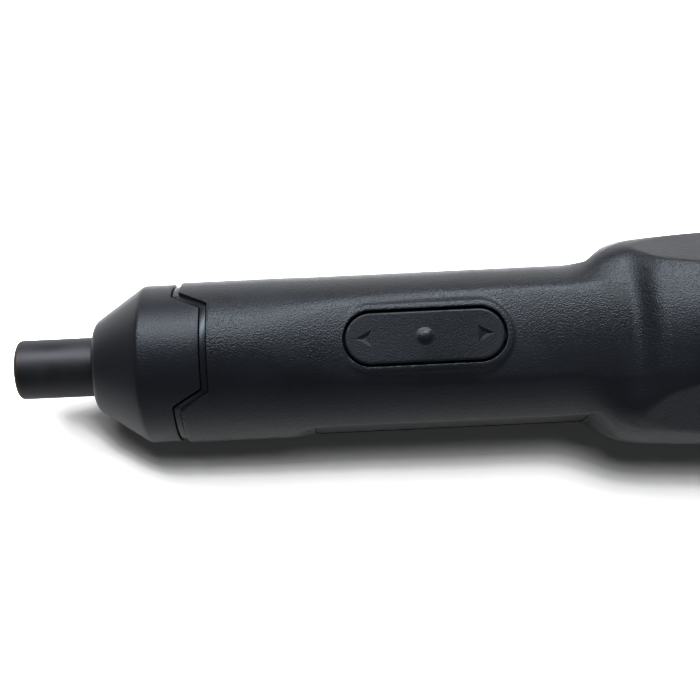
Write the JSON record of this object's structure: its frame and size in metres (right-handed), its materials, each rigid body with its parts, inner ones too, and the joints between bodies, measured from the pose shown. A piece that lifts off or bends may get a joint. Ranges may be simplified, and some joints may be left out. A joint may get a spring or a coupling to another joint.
{
  "type": "electric screwdriver",
  "caption": "Stick-shaped cordless screwdriver with a hex bit holder on a tapered nose, a slim body with a rocker button and side plates, and a swollen faceted grip.",
  "frame": {"origin": "centre of the bit socket's mouth, on the spindle axis", "axes": "+X along the spindle axis from the bit socket to the tail, +Z out of the rocker button, +Y across the tool"},
  "size_m": [0.1897, 0.0398, 0.0391],
  "materials": {
    "shell_plastic": "matte",
    "nose_plastic": "satin",
    "button_plastic": "matte",
    "gloss_black": "gloss",
    "blackened_steel": "satin",
    "screw_steel": "satin",
    "bright_steel": "satin",
    "gear_steel": "satin",
    "nickel": "satin",
    "bronze": "satin",
    "terminal_brass": "satin",
    "copper": "satin",
    "core_steel": "satin",
    "ferrite": "matte",
    "carbon": "matte",
    "nylon": "satin",
    "board_green": "satin",
    "foam": "matte",
    "switch_black": "satin",
    "cell_sleeve": "gloss",
    "light_lens": "gloss",
    "lead_insulation": "satin"
  },
  "bodies": {
    "housing": {"upper_shell": "shell_plastic", "lower_shell": "shell_plastic", "nose_cap": "nose_plastic", "trim_ring": "gloss_black", "side_plate_left": "gloss_black", "side_plate_right": "gloss_black", "shell_screws": "screw_steel", "motor_screws": "screw_steel", "board_screw": "screw_steel", "hinge_pin": "bright_steel", "thrust_washer": "bright_steel", "motor_plate": "bright_steel", "ring_gear": "gear_steel", "motor_can": "nickel", "battery_tabs": "nickel", "usb_shell": "nickel", "spindle_bush": "bronze", "motor_bushes": "bronze", "motor_terminals": "terminal_brass", "motor_magnets": "ferrite", "motor_brushes": "carbon", "gear_case": "nylon", "motor_cap": "nylon", "switch_board": "board_green", "charge_board": "board_green", "board_pad": "foam", "tact_switches": "switch_black", "usb_tongue": "switch_black", "battery_cell": "cell_sleeve", "charge_light": "light_lens", "motor_leads": "lead_insulation", "cell_leads": "lead_insulation", "power_leads": "lead_insulation"},
    "rotor": {"motor_shaft": "bright_steel", "motor_pinion": "gear_steel", "armature_core": "core_steel", "armature_windings": "copper", "commutator": "copper"},
    "first_carrier_set": {"first_carrier": "gear_steel", "input_pins": "bright_steel"},
    "spindle": {"bit_holder": "blackened_steel", "bit_magnet": "nickel", "spindle_clip": "bright_steel", "output_carrier": "gear_steel", "output_pins": "bright_steel"},
    "button": {"rocker_button": "button_plastic"},
    "input_wheel_1": {"input_planet_1": "gear_steel"},
    "output_wheel_1": {"output_planet_1": "gear_steel"},
    "input_wheel_2": {"input_planet_2": "gear_steel"},
    "output_wheel_2": {"output_planet_2": "gear_steel"},
    "input_wheel_3": {"input_planet_3": "gear_steel"},
    "output_wheel_3": {"output_planet_3": "gear_steel"}
  },
  "joints": [
    {"name": "rotor_spin", "type": "hinge", "parent": "housing", "child": "rotor", "pos_m": [0.06, 0, 0], "axis": [1, 0, 0], "continuous": true},
    {"name": "first_carrier_spin", "type": "hinge", "parent": "housing", "child": "first_carrier_set", "pos_m": [0.0395, 0, 0], "axis": [1, 0, 0], "continuous": true},
    {"name": "spindle_spin", "type": "hinge", "parent": "housing", "child": "spindle", "pos_m": [0.01, 0, 0], "axis": [1, 0, 0], "continuous": true},
    {"name": "input_planet_1_spin", "type": "hinge", "parent": "first_carrier_set", "child": "input_wheel_1", "pos_m": [0.043, 0.0054, 0], "axis": [1, 0, 0], "continuous": true},
    {"name": "output_planet_1_spin", "type": "hinge", "parent": "spindle", "child": "output_wheel_1", "pos_m": [0.0345, 0.0054, 0], "axis": [1, 0, 0], "continuous": true},
    {"name": "input_planet_2_spin", "type": "hinge", "parent": "first_carrier_set", "child": "input_wheel_2", "pos_m": [0.043, -0.0027, 0.00468], "axis": [1, 0, 0], "continuous": true},
    {"name": "output_planet_2_spin", "type": "hinge", "parent": "spindle", "child": "output_wheel_2", "pos_m": [0.0345, -0.0027, 0.00468], "axis": [1, 0, 0], "continuous": true},
    {"name": "input_planet_3_spin", "type": "hinge", "parent": "first_carrier_set", "child": "input_wheel_3", "pos_m": [0.043, -0.0027, -0.00468], "axis": [1, 0, 0], "continuous": true},
    {"name": "output_planet_3_spin", "type": "hinge", "parent": "spindle", "child": "output_wheel_3", "pos_m": [0.0345, -0.0027, -0.00468], "axis": [1, 0, 0], "continuous": true},
    {"name": "button_rock", "type": "hinge", "parent": "housing", "child": "button", "pos_m": [0.0752, 0, 0.01015], "axis": [0, 1, 0], "range_deg": [-2, 2], "stiffness_Nm_per_rad": 0.64}
  ],
  "couplings": [
    {"joint": "first_carrier_spin", "follows": "rotor_spin", "ratio": 0.1875},
    {"joint": "spindle_spin", "follows": "rotor_spin", "ratio": 0.035156},
    {"joint": "input_planet_1_spin", "follows": "rotor_spin", "ratio": -0.4875},
    {"joint": "output_planet_1_spin", "follows": "rotor_spin", "ratio": -0.091406},
    {"joint": "input_planet_2_spin", "follows": "rotor_spin", "ratio": -0.4875},
    {"joint": "output_planet_2_spin", "follows": "rotor_spin", "ratio": -0.091406},
    {"joint": "input_planet_3_spin", "follows": "rotor_spin", "ratio": -0.4875},
    {"joint": "output_planet_3_spin", "follows": "rotor_spin", "ratio": -0.091406}
  ]
}
